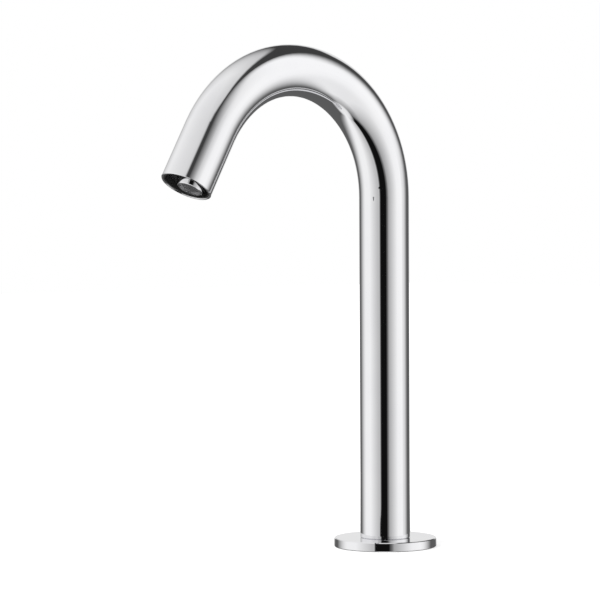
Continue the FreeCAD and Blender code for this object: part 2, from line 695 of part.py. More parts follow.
def splice_sleeve():
    """Shrunk sleeve where the coil's lead joins the sensor cable."""
    sleeve = cylinder(2.9, SPLICE_LOW, SPLICE_HIGH, beside_cable(0.65))
    return without(
        sleeve,
        cylinder(CABLE_RADIUS + FIT, SPLICE_LOW, SPLICE_HIGH, CABLE_AT),
        cylinder(LEAD_RADIUS + FIT, SPLICE_LOW, SPLICE_HIGH - 1 + FIT, beside_cable(LEAD_BESIDE_CABLE)),
    )


def sensor_cable():
    """Cable from the sensor board, round the outside of the bend, down to the socket."""
    offset = CABLE_IN_MOUTH
    start = mouth_point(0, offset, BOARD_DEPTH + BOARD_THICK + FIT)
    # The mouth's line and the column's line cross above the bend.
    crossing_reach = (BEND_RADIUS + offset) * math.tan((math.pi - TILT) / 2)
    crossing = Vector(0, offset, BEND_START + crossing_reach)
    shift_high = BEND_START - 25
    shift_low = SPLICE_HIGH + 6
    points = [
        start,
        crossing,
        Vector(0, offset, shift_high),
        Vector(CABLE_AT[0], CABLE_AT[1], shift_low),
        Vector(CABLE_AT[0], CABLE_AT[1], SOCKET_LENGTH),
    ]
    bends = (BEND_RADIUS + offset, 30.0, 30.0)
    return cord("sensor cable", rounded_route(points, bends), CABLE_RADIUS)


# ---------------------------------------------------------------- hose
def nipple():
    """Barbed nipple on the Z axis, standing on a face at Z = 0 and pointing up."""
    collar_top = NIPPLE_SEAL_THICK + NIPPLE_COLLAR
    barb_top = collar_top + BARB_LENGTH
    body = cylinder(NIPPLE_THREAD_RADIUS, -3.8, NIPPLE_SEAL_THICK)
    body = body.fuse(cylinder(HOSE_RADIUS + 0.2, NIPPLE_SEAL_THICK, collar_top))
    body = body.fuse(cylinder(HOSE_BORE - 0.4, collar_top, barb_top))
    for tooth in range(3):
        low = collar_top + 1.5 + 2.4 * tooth
        cone = Part.makeCone(HOSE_BORE - 0.03, HOSE_BORE - 0.4, 1.8, Vector(0, 0, low))
        body = body.fuse(cone)
    return body.cut(cylinder(HOSE_BORE - 1.0, -3.8, barb_top))


def nipple_seal():
    return ring(HOSE_RADIUS + 0.1, NIPPLE_THREAD_RADIUS + FIT, 0, NIPPLE_SEAL_THICK)


def hose_ferrule():
    low = NIPPLE_SEAL_THICK + NIPPLE_COLLAR + 1.5
    return ring(HOSE_RADIUS + FERRULE_WALL, HOSE_RADIUS + FIT / 2, low, low + FERRULE_LENGTH)


def on_riser(shape):
    return shape.translated(Vector(RISER_AT[0], RISER_AT[1], DIAPHRAGM_LOW))


def on_holder(shape):
    """Puts a piece drawn on the Z axis on the holder's back, pointing into the tube."""
    turned = shape.copy()
    turned.rotate(Vector(0, 0, 0), Vector(1, 0, 0), 180)
    # After the turn the piece points along -Z, which is deeper into the tube.
    return at_mouth(turned.translated(Vector(NOZZLE_AT[0], NOZZLE_AT[1], -HOLDER_END)))


def riser_nipple():
    return on_riser(nipple())


def tip_nipple():
    return on_holder(nipple())


def nipple_seals():
    return Part.makeCompound([on_riser(nipple_seal()), on_holder(nipple_seal())])


def hose_ferrules():
    return Part.makeCompound([on_riser(hose_ferrule()), on_holder(hose_ferrule())])


def water_hose():
    """Hose from the valve's riser, round the inside of the bend, to the mouth."""
    low = Vector(0, RISER_AT[1], DIAPHRAGM_LOW + NIPPLE_SEAL_THICK + NIPPLE_COLLAR + SLIDE)
    high = mouth_point(0, -NOZZLE_OFFSET, TIP_HOSE_DEPTH)
    into_tube = mouth_point(0, -NOZZLE_OFFSET, TIP_HOSE_DEPTH + 1) - high
    # The riser's vertical line and the mouth's line meet above the bend.
    steps = (low.y - high.y) / into_tube.y
    crossing = high + into_tube * steps
    route = rounded_route([low, crossing, high], (HOSE_BEND_RADIUS,))
    return cord("water hose", route, HOSE_RADIUS).cut(pipe(route, HOSE_BORE))


# ---------------------------------------------------------------- mouth
def crescent(shrink, near, far):
    """The sensor's outline: between the holder's edge and the aerator's wall."""
    shape = in_depth(cylinder, SENSOR_OUTER - shrink, near, far)
    shape = shape.cut(in_depth(cylinder, SENSOR_INNER + shrink, near, far, at=NOZZLE_AT))
    reach = 2 * BORE
    floor = SENSOR_END + shrink
    keep = Part.makeBox(2 * reach, reach, far - near, Vector(-reach, floor, -far))
    return shape.common(keep)


def grub_hole():
    """Radial hole on the column's side of the mouth."""
    low = TUBE_RADIUS - GRUB_LENGTH - 0.4
    length = TUBE_RADIUS + 1 - low
    return Part.makeCylinder(GRUB_RADIUS + FIT / 2, length, Vector(0, -low, -GRUB_DEPTH), Vector(0, -1, 0))


def tip_holder():
    """Black carrier for the sensor and the aerator."""
    body = in_depth(cylinder, HOLDER_RADIUS, SKIRT_DEPTH, HOLDER_END)
    groove_low = CHAMBER_END - 2.0
    tools = [
        in_depth(cylinder, HOLDER_RADIUS - SKIRT_WALL, SKIRT_DEPTH, HOLDER_DEPTH),
        in_depth(cylinder, AERATOR_BORE, HOLDER_DEPTH, WASHER_END, at=NOZZLE_AT),
        in_depth(cylinder, AERATOR_BORE - 2.7, WASHER_END, CHAMBER_END, at=NOZZLE_AT),
        in_depth(cylinder, NIPPLE_THREAD_RADIUS + FIT, CHAMBER_END, HOLDER_END, at=NOZZLE_AT),
        crescent(0.0, HOLDER_DEPTH, HOLDER_DEPTH + SENSOR_POCKET_DEPTH),
        in_depth(cylinder, CABLE_RADIUS + EASY, HOLDER_DEPTH, HOLDER_END, at=(0, CABLE_IN_MOUTH)),
        in_depth(ring, HOLDER_RADIUS + 1, HOLDER_RADIUS - 1.3, groove_low, groove_low + 1.6),
        grub_hole(),
    ]
    for tool in tools:
        body = body.cut(tool)
    return at_mouth(body)


def tip_o_ring():
    depth = CHAMBER_END - 1.2
    minor = (1.3 + SLIDE) / 2 - 0.01
    return at_mouth(o_ring(BORE - minor - 0.01, minor, -depth))


def grub_screw():
    """Holds the holder in the tube, on the side that faces the column."""
    low = TUBE_RADIUS - EASY - GRUB_LENGTH
    start = Vector(0, -low, -GRUB_DEPTH)
    screw = Part.makeCylinder(GRUB_RADIUS, GRUB_LENGTH, start, Vector(0, -1, 0))
    key = hexagon(1.5, 0, 2.0)
    key.rotate(Vector(0, 0, 0), Vector(1, 0, 0), 90)
    key.translate(Vector(0, -(low + GRUB_LENGTH - 2.0), -GRUB_DEPTH))
    return at_mouth(screw.cut(key))


def sensor_window():
    return at_mouth(crescent(FIT, HOLDER_DEPTH, HOLDER_DEPTH + WINDOW_THICK))


def infrared_diode(side):
    """Three-millimetre diode on the board, its dome towards the window."""
    at = (side * LED_SPREAD, CABLE_IN_MOUTH - LED_INSET)
    dome_centre = HOLDER_DEPTH + WINDOW_THICK + EASY + LED_RADIUS
    barrel = in_depth(cylinder, LED_RADIUS, dome_centre, BOARD_DEPTH, at=at)
    dome = Part.makeSphere(LED_RADIUS, Vector(at[0], at[1], -dome_centre))
    return at_mouth(barrel.fuse(dome))


def ir_emitter():
    return infrared_diode(-1)


def ir_receiver():
    return infrared_diode(1)


def sensor_shield():
    """Opaque wall between the emitter and the receiver."""
    inner = SENSOR_INNER - NOZZLE_OFFSET + 0.3
    height = SENSOR_OUTER - 0.3 - inner
    near = HOLDER_DEPTH + WINDOW_THICK + FIT
    shield = Part.makeBox(1.2, height, BOARD_DEPTH - near, Vector(-0.6, inner, -BOARD_DEPTH))
    return at_mouth(shield)


def sensor_board():
    return at_mouth(crescent(0.15, BOARD_DEPTH, BOARD_DEPTH + BOARD_THICK))


def aerator_shell():
    """Chromed nozzle that screws into the holder, with notches for its key."""
    base = Vector(NOZZLE_AT[0], NOZZLE_AT[1], -HOLDER_DEPTH)
    nose = Part.makeCone(NOZZLE_RADIUS, NOZZLE_FACE_RADIUS, HOLDER_DEPTH - NOZZLE_DEPTH, base)
    nose = nose.makeChamfer(NOZZLE_CHAMFER, flat_circles(nose, -NOZZLE_DEPTH))
    neck = in_depth(cylinder, NOZZLE_RADIUS, HOLDER_DEPTH, NOZZLE_DEPTH + NOZZLE_NOSE, at=NOZZLE_AT)
    thread = in_depth(
        cylinder, AERATOR_THREAD_RADIUS, NOZZLE_DEPTH + NOZZLE_NOSE, AERATOR_END, at=NOZZLE_AT
    )
    tools = [
        in_depth(cylinder, GRID_BORE - 0.3, NOZZLE_DEPTH, AERATOR_END, at=NOZZLE_AT),
        in_depth(cylinder, GRID_BORE, GRID_NEAR, AERATOR_END, at=NOZZLE_AT),
        in_depth(cylinder, NOZZLE_RADIUS - NOZZLE_WALL, SCREENS_NEAR, AERATOR_END, at=NOZZLE_AT),
    ]
    shell = nose.fuse([neck, thread])
    for turn in range(4):
        notch = Part.makeBox(0.8, 1.4, 0.8, Vector(GRID_BORE - 0.8, -0.7, -GRID_NEAR))
        notch.rotate(Vector(0, 0, 0), Vector(0, 0, 1), 45 + 90 * turn)
        tools.append(notch.translated(Vector(NOZZLE_AT[0], NOZZLE_AT[1], 0)))
    for tool in tools:
        shell = shell.cut(tool)
    return at_mouth(shell)


def perforated_disc(radius, near, far, hole_radius, pitch):
    """A disc in the aerator with as large a honeycomb of holes as it takes."""
    rings = int((radius - hole_radius - 0.8) / pitch)
    disc = in_depth(cylinder, radius, near, far, at=NOZZLE_AT)
    holes = []
    for x, y in hexagonal_grid(pitch, rings):
        holes.append(in_depth(cylinder, hole_radius, near, far, at=(x, y - NOZZLE_OFFSET)))
    return disc.cut(Part.makeCompound(holes))


AERATOR_FIT = NOZZLE_RADIUS - NOZZLE_WALL - FIT
NOZZLE_FACE_RADIUS = NOZZLE_RADIUS - NOZZLE_TAPER
GRID_BORE = NOZZLE_FACE_RADIUS - 0.5
GRID_NEAR = NOZZLE_DEPTH + 0.8
SCREENS_NEAR = GRID_NEAR + 2.0
REGULATOR_NEAR = SCREENS_NEAR + 1.4
SCREEN_PITCH = 1.6
SCREEN_WIRE = 0.3


def aerator_grid():
    return at_mouth(perforated_disc(GRID_BORE - FIT, GRID_NEAR, SCREENS_NEAR, 0.42, 1.1))


def aerator_screens():
    """Two fine screens, each a rim with a lattice of wires."""
    screens = []
    for near in (SCREENS_NEAR, SCREENS_NEAR + 0.7):
        rim = in_depth(ring, AERATOR_FIT, AERATOR_FIT - 1.0, near, near + 0.6, at=NOZZLE_AT)
        inner = in_depth(cylinder, AERATOR_FIT - 0.8, near + 0.2, near + 0.4, at=NOZZLE_AT)
        wires = []
        lines = int((AERATOR_FIT - 0.8) / SCREEN_PITCH)
        for line in range(-lines, lines + 1):
            aside = SCREEN_PITCH * line - SCREEN_WIRE / 2
            across = Part.makeBox(
                2 * AERATOR_FIT, SCREEN_WIRE, 0.2, Vector(-AERATOR_FIT, aside - NOZZLE_OFFSET, -near - 0.4)
            )
            along = Part.makeBox(
                SCREEN_WIRE, 2 * AERATOR_FIT, 0.2, Vector(aside, -AERATOR_FIT - NOZZLE_OFFSET, -near - 0.4)
            )
            wires += [across, along]
        lattice = inner.common(wires[0].fuse(wires[1:]))
        screens.append(at_mouth(rim.fuse(lattice)))
    return Part.makeCompound(screens)


def jet_regulator():
    near = REGULATOR_NEAR
    return at_mouth(perforated_disc(AERATOR_FIT, near, near + 3.2, 0.5, 2.2))


def flow_regulator():
    """Disc that throttles the flow."""
    near = REGULATOR_NEAR + 3.2 + FIT
    return at_mouth(perforated_disc(AERATOR_FIT, near, AERATOR_END - SLIDE, 0.8, 3.4))


def aerator_washer():
    outer = AERATOR_BORE - SLIDE
    return at_mouth(in_depth(ring, outer, outer - 2.4, AERATOR_END, WASHER_END, at=NOZZLE_AT))


PIECES = [
    spout_tube, base_flange, flange_gasket, base_body, power_socket, socket_pins,
    inlet_strainer, check_valve_body, check_valve_poppet, check_valve_spring, spigot_o_ring,
    valve_body, valve_screws, diaphragm, diaphragm_insert, guide_tube, bonnet_nut,
    plunger, plunger_seal, plunger_spring, core_plug,
    coil_bobbin, coil_winding, coil_can, can_lid, latch_magnet, coil_nut,
    coil_lead, splice_sleeve, sensor_cable,
    riser_nipple, tip_nipple, nipple_seals, hose_ferrules, water_hose,
    tip_holder, tip_o_ring, grub_screw,
    sensor_window, ir_emitter, ir_receiver, sensor_shield, sensor_board,
    aerator_shell, aerator_grid, aerator_screens, jet_regulator, flow_regulator, aerator_washer,
]


def main():
    os.makedirs("parts", exist_ok=True)
    for make in PIECES:
        shape = make()
        good = shape.isValid() and all(s.isClosed() for s in shape.Shells)
        print(f"{make.__name__:20s} solids {len(shape.Solids)}  mm3 {shape.Volume:10.2f}  valid {good}")
        shape.exportStep(os.path.join("parts", make.__name__ + ".step"))


main()
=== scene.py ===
"""Looks for the sensor tap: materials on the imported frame, a white studio and the camera."""

import json
import math

import bpy
from mathutils import Matrix

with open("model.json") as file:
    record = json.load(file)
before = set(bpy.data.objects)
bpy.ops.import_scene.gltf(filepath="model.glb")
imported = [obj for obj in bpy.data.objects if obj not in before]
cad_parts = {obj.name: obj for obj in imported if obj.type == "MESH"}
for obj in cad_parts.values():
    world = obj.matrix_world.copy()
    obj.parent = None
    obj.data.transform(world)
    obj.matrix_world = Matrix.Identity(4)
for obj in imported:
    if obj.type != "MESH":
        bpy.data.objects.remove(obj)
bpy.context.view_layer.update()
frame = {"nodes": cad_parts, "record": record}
nodes = frame["nodes"]

# The camera stands this far round from the spout's side and turns a little further.
CAMERA_AZIMUTH = math.radians(45.77)
CAMERA_DISTANCE = 1.450
CAMERA_HEIGHT = 0.18482
CAMERA_YAW = math.radians(1.86)
CAMERA_PITCH = math.radians(-1.86)
CAMERA_ROLL = math.radians(-0.28)
FOCAL_LENGTH = 155.957
FILM_WIDTH = 36.0
MOUTH_TILT = math.radians(30)

# Plain light, in the world and added to the floor near the tap, and the darkest mirrored level.
WORLD_LIGHT = 0.70
FLOOR_LIFT = 0.34
MIRRORED_BLACK = 0.006
LAMP_AIM = (0.0, -0.07, 0.12)
FLOOR_HALF = 4.0
FLOOR_DROP = 0.0002
WIRE_PITCH = 0.00022


class Graph:
    """A short way to write a node tree."""

    def __init__(self, tree):
        self.tree = tree
        self.tree.nodes.clear()

    def node(self, kind, inputs=(), **settings):
        node = self.tree.nodes.new(kind)
        for name, value in settings.items():
            setattr(node, name, value)
        for name, value in dict(inputs).items():
            self.feed(node.inputs[name], value)
        return node

    def feed(self, socket, value):
        if isinstance(value, bpy.types.NodeSocket):
            self.tree.links.new(value, socket)
        else:
            socket.default_value = value

    def math(self, operation, *values):
        node = self.node("ShaderNodeMath", operation=operation)
        for socket, value in zip(node.inputs, values):
            self.feed(socket, value)
        return node.outputs[0]

    def fold(self, operation, values):
        total = values[0]
        for value in values[1:]:
            total = self.math(operation, total, value)
        return total

    def add(self, *values):
        return self.fold("ADD", values)

    def times(self, *values):
        return self.fold("MULTIPLY", values)

    def largest(self, *values):
        return self.fold("MAXIMUM", values)

    def step(self, value, start, end, low=0.0, high=1.0, kind="SMOOTHSTEP"):
        """low up to start, high from end, and a soft change between them."""
        if start > end:
            start, end, low, high = end, start, high, low
        inputs = {"Value": value, "From Min": start, "From Max": end, "To Min": low, "To Max": high}
        return self.node("ShaderNodeMapRange", inputs, interpolation_type=kind).outputs["Result"]

    def slope(self, value, start, end, low=0.0, high=1.0):
        return self.step(value, start, end, low, high, "LINEAR")

    def mix(self, factor, first, second):
        node = self.node("ShaderNodeMix", data_type="RGBA")
        for index, value in ((0, factor), (6, first), (7, second)):
            self.feed(node.inputs[index], value)
        return node.outputs[2]

    def noise(self, where, scale, detail=2.0, roughness=0.5):
        inputs = {"Vector": where, "Scale": scale, "Detail": detail, "Roughness": roughness}
        return self.node("ShaderNodeTexNoise", inputs).outputs["Fac"]

    def bump(self, height, depth, under=None):
        inputs = {"Height": height, "Distance": depth, "Strength": 1.0}
        if under is not None:
            inputs["Normal"] = under
        return self.node("ShaderNodeBump", inputs).outputs["Normal"]


# Materials. Every length below is in metres and every scale in features per metre.


def begin(name):
    """A fresh node tree for a slot, with its place on the object, and its surface shader."""
    made = bpy.data.materials.new("look_" + name)
    made.use_nodes = True
    graph = Graph(made.node_tree)
    where = graph.node("ShaderNodeTexCoord").outputs["Object"]
    surface = graph.node("ShaderNodeBsdfPrincipled")
    out = graph.node("ShaderNodeOutputMaterial")
    graph.feed(out.inputs["Surface"], surface.outputs["BSDF"])
    return made, graph, where, surface


def stretch(graph, where, scale, tilt=0.0):
    """The place, turned about X so that Z runs along a tilted piece, then scaled by axis."""
    inputs = {"Vector": where, "Rotation": (tilt, 0.0, 0.0), "Scale": scale}
    return graph.node("ShaderNodeMapping", inputs).outputs["Vector"]


def grey(value, tint=0.0):
    return (value, value, value * (1 + tint), 1.0)


def chrome(name, bright=0.80):
    """Polished plating: almost a mirror, with faint waves, hairlines and wiped-off haze."""
    made, graph, where, surface = begin(name)
    haze = graph.noise(where, 38.0, 4.0, 0.6)
    wiped = graph.noise(stretch(graph, where, (260.0, 260.0, 25.0)), 1.0, 3.0, 0.6)
    hairs = graph.noise(stretch(graph, where, (900.0, 900.0, 5200.0)), 1.0, 1.0)
    shade = graph.step(haze, 0.3, 0.7)
    plating = graph.mix(shade, grey(bright, 0.012), grey(bright - 0.02, 0.02))
    graph.feed(surface.inputs["Base Color"], plating)
    rough = graph.add(
        graph.step(haze, 0.35, 0.75, 0.022, 0.045), graph.step(wiped, 0.55, 0.8, 0.0, 0.02)
    )
    graph.feed(surface.inputs["Roughness"], rough)
    surface.inputs["Metallic"].default_value = 1.0
    waves = graph.bump(graph.noise(where, 70.0, 2.0), 0.0000035)
    graph.feed(surface.inputs["Normal"], graph.bump(hairs, 0.00000012, waves))
    return made


def machined(name, light, dark, rough, tilt=0.0, pitch=0.00025, depth=0.000004, metallic=1.0):
    """Turned metal: fine tool lines round the piece, small pits and a little tarnish."""
    made, graph, where, surface = begin(name)
    turned = stretch(graph, where, (60.0, 60.0, 1.0 / pitch), tilt)
    lines = graph.noise(turned, 1.0, 2.0, 0.6)
    tarnish = graph.noise(where, 330.0, 4.0, 0.65)
    pits = graph.noise(where, 5200.0, 2.0)
    shade = graph.step(graph.add(tarnish, graph.times(lines, 0.35)), 0.45, 0.95)
    graph.feed(surface.inputs["Base Color"], graph.mix(shade, light, dark))
    surface.inputs["Metallic"].default_value = metallic
    graph.feed(surface.inputs["Roughness"], graph.step(lines, 0.25, 0.75, rough, rough + 0.16))
    cut = graph.bump(lines, depth)
    graph.feed(surface.inputs["Normal"], graph.bump(pits, depth * 0.25, cut))
    return made


def moulded(name, light, dark, rough, grain=2600.0, depth=0.000012, coat=0.0):
    """Moulded plastic: an eroded mould's fine grain, flow clouds and rubbed places."""
    made, graph, where, surface = begin(name)
    clouds = graph.noise(where, 210.0, 3.0, 0.55)
    cells = {"Vector": where, "Scale": grain}
    spots = graph.node("ShaderNodeTexVoronoi", cells, feature="SMOOTH_F1").outputs["Distance"]
    fine = graph.noise(where, grain * 1.7, 3.0, 0.6)
    shade = graph.step(graph.add(clouds, graph.times(fine, 0.3)), 0.4, 0.9)
    graph.feed(surface.inputs["Base Color"], graph.mix(shade, light, dark))
    graph.feed(surface.inputs["Roughness"], graph.step(clouds, 0.3, 0.7, rough, rough + 0.12))
    surface.inputs["Coat Weight"].default_value = coat
    surface.inputs["Coat Roughness"].default_value = 0.06
    relief = graph.bump(spots, depth)
    graph.feed(surface.inputs["Normal"], graph.bump(fine, depth * 0.5, relief))
    return made


def rubber(name, light, dark, rough=0.62, depth=0.00001):
    """Rubber: dull and finely pored, with a dusty bloom in patches."""
    made, graph, where, surface = begin(name)
    bloom = graph.noise(where, 160.0, 5.0, 0.62)
    pores = graph.noise(where, 4200.0, 3.0, 0.6)
    graph.feed(surface.inputs["Base Color"], graph.mix(graph.step(bloom, 0.42, 0.72), dark, light))
    graph.feed(surface.inputs["Roughness"], graph.step(pores, 0.3, 0.7, rough - 0.08, rough + 0.12))
    surface.inputs["Sheen Weight"].default_value = 0.08
    surface.inputs["Sheen Roughness"].default_value = 0.5
    graph.feed(surface.inputs["Normal"], graph.bump(pores, depth))
    return made


def glossy(name, light, dark, rough=0.03, wave=0.000004):
    """Clear-faced plastic or glass-like resin: a smooth skin over a faintly cloudy body."""
    made, graph, where, surface = begin(name)
    clouds = graph.noise(where, 420.0, 3.0, 0.5)
    specks = graph.noise(where, 7000.0, 1.0)
    graph.feed(surface.inputs["Base Color"], graph.mix(graph.step(clouds, 0.35, 0.7), dark, light))
    graph.feed(surface.inputs["Roughness"], graph.step(clouds, 0.3, 0.75, rough, rough + 0.03))
    surface.inputs["IOR"].default_value = 1.52
    surface.inputs["Coat Weight"].default_value = 0.6
    surface.inputs["Coat Roughness"].default_value = 0.02
    slow = graph.bump(graph.noise(where, 190.0, 1.0), wave)
    graph.feed(surface.inputs["Normal"], graph.bump(specks, wave * 0.03, slow))
    return made


def winding(name):
    """Enamelled copper wire wound in close level turns, with painted shade in the grooves between the
    turns and lighter crests.
    """
    made, graph, where, surface = begin(name)
    height = graph.node("ShaderNodeSeparateXYZ", {"Vector": where}).outputs["Z"]
    turn = graph.math("ABSOLUTE", graph.math("SINE", graph.times(height, math.pi / WIRE_PITCH)))
    patches = graph.noise(where, 900.0, 3.0, 0.6)
    # Painted shade: the colour goes dark in the grooves between the turns and light on their crests;
    # the patches vary the enamel's tone at random.
    shade = graph.times(graph.step(turn, 0.05, 0.7), graph.step(patches, 0.2, 0.8, 0.75, 1.0))
    dark, light = (0.16, 0.045, 0.018, 1.0), (0.78, 0.34, 0.15, 1.0)
    graph.feed(surface.inputs["Base Color"], graph.mix(shade, dark, light))
    surface.inputs["Metallic"].default_value = 0.85
    graph.feed(surface.inputs["Roughness"], graph.step(patches, 0.3, 0.7, 0.22, 0.36))
    graph.feed(surface.inputs["Normal"], graph.bump(turn, 0.00009))
    return made


def board(name):
    """Solder resist over copper tracks, with the glass weave just showing."""
    made, graph, where, surface = begin(name)
    flat = stretch(graph, where, (1.0, 1.0, 1.0), MOUTH_TILT)
    cells = {"Vector": flat, "Scale": 620.0, "Randomness": 0.75}
    tracks = graph.node("ShaderNodeTexVoronoi", cells, distance="MANHATTAN", feature="F1")
    raised = graph.step(tracks.outputs["Distance"], 0.42, 0.5)
    weave = graph.node("ShaderNodeTexChecker", {"Vector": flat, "Scale": 3200.0}).outputs["Fac"]
    mask = graph.mix(raised, (0.012, 0.13, 0.045, 1.0), (0.03, 0.24, 0.085, 1.0))
    woven = graph.mix(graph.times(weave, 0.12), mask, (0.05, 0.20, 0.10, 1.0))
    graph.feed(surface.inputs["Base Color"], woven)
    graph.feed(surface.inputs["Roughness"], graph.step(graph.noise(where, 700.0), 0.3, 0.7, 0.28, 0.42))
    graph.feed(surface.inputs["Normal"], graph.bump(raised, 0.00003))
    return made


def hose(name):
    """Milky silicone hose with fine drawn lines and clouded depth."""
    made, graph, where, surface = begin(name)
    clouds = graph.noise(where, 140.0, 4.0, 0.6)
    lines = graph.noise(stretch(graph, where, (2600.0, 240.0, 240.0)), 1.0, 2.0)
    shade = graph.step(graph.add(clouds, graph.times(lines, 0.25)), 0.4, 0.85)
    graph.feed(surface.inputs["Base Color"], graph.mix(shade, grey(0.66, -0.03), grey(0.52, -0.05)))
    graph.feed(surface.inputs["Roughness"], graph.step(lines, 0.3, 0.7, 0.34, 0.5))
    surface.inputs["Subsurface Weight"].default_value = 0.15
    surface.inputs["Subsurface Scale"].default_value = 0.002
    graph.feed(surface.inputs["Normal"], graph.bump(lines, 0.000008))
    return made


STEEL = grey(0.62, 0.01), grey(0.50, 0.02)
BLACK = grey(0.045), grey(0.022)
looks = {
    "tube_chrome": chrome("tube_chrome"),
    "flange_chrome": chrome("flange_chrome"),
    "nozzle_chrome": chrome("nozzle_chrome", 0.78),
    "gasket_rubber": rubber("gasket_rubber", *BLACK),
    "valve_rubber": rubber("valve_rubber", grey(0.075), grey(0.04), 0.55),
    "machined_brass": machined("machined_brass", (0.78, 0.60, 0.30, 1), (0.60, 0.43, 0.20, 1), 0.24),
    "socket_plastic": moulded("socket_plastic", *BLACK, 0.42),
    "gold_contact": machined(
        "gold_contact", (0.90, 0.69, 0.27, 1), (0.80, 0.58, 0.20, 1), 0.12, depth=0.000001
    ),
    "white_plastic": moulded("white_plastic", (0.84, 0.84, 0.80, 1), (0.76, 0.76, 0.71, 1), 0.34),
    "spring_steel": machined("spring_steel", *STEEL, 0.2, depth=0.000002),
    "valve_plastic": moulded("valve_plastic", grey(0.12, 0.05), grey(0.085, 0.05), 0.46),
    "screw_steel": machined("screw_steel", *STEEL, 0.26, tilt=MOUTH_TILT),
    "turned_steel": machined("turned_steel", grey(0.60), grey(0.47), 0.24),
    "nut_brass": machined("nut_brass", (0.80, 0.63, 0.35, 1), (0.63, 0.47, 0.24, 1), 0.26),
    "copper_winding": winding("copper_winding"),
    "coil_steel": machined("coil_steel", grey(0.55, 0.03), grey(0.42, 0.04), 0.34, pitch=0.0009),
    "magnet_black": machined("magnet_black", grey(0.12), grey(0.07), 0.5, metallic=0.5),
    "cable_jacket": rubber("cable_jacket", *BLACK, 0.48),
    "shrink_sleeve": rubber("shrink_sleeve", grey(0.06), grey(0.03), 0.44, 0.000016),
    "hose_rubber": hose("hose_rubber"),
    "holder_plastic": moulded("holder_plastic", grey(0.022), grey(0.011), 0.34, 3600.0, 0.000007),
    "sensor_window": glossy("sensor_window", grey(0.010, 0.2), grey(0.006, 0.2)),
    "diode_dark": glossy("diode_dark", (0.03, 0.014, 0.03, 1), (0.014, 0.006, 0.014, 1), 0.05),
    "diode_clear": glossy("diode_clear", grey(0.36, 0.12), grey(0.25, 0.14), 0.05),
    "board_green": board("board_green"),
    "grid_plastic": moulded("grid_plastic", grey(0.15, 0.03), grey(0.10, 0.03), 0.30, 4200.0, 0.000006),
    "screen_steel": machined("screen_steel", grey(0.50), grey(0.38), 0.3, tilt=MOUTH_TILT),
    "regulator_plastic": moulded("regulator_plastic", grey(0.78, -0.03), grey(0.70, -0.04), 0.4),
}

for part in frame["record"]["subparts"]:
    for held in nodes[part["node"]].material_slots:
        held.material = looks[part["material_slot"]]


# The studio. Directions are measured from the camera's: u to its right, v back to it, z up.


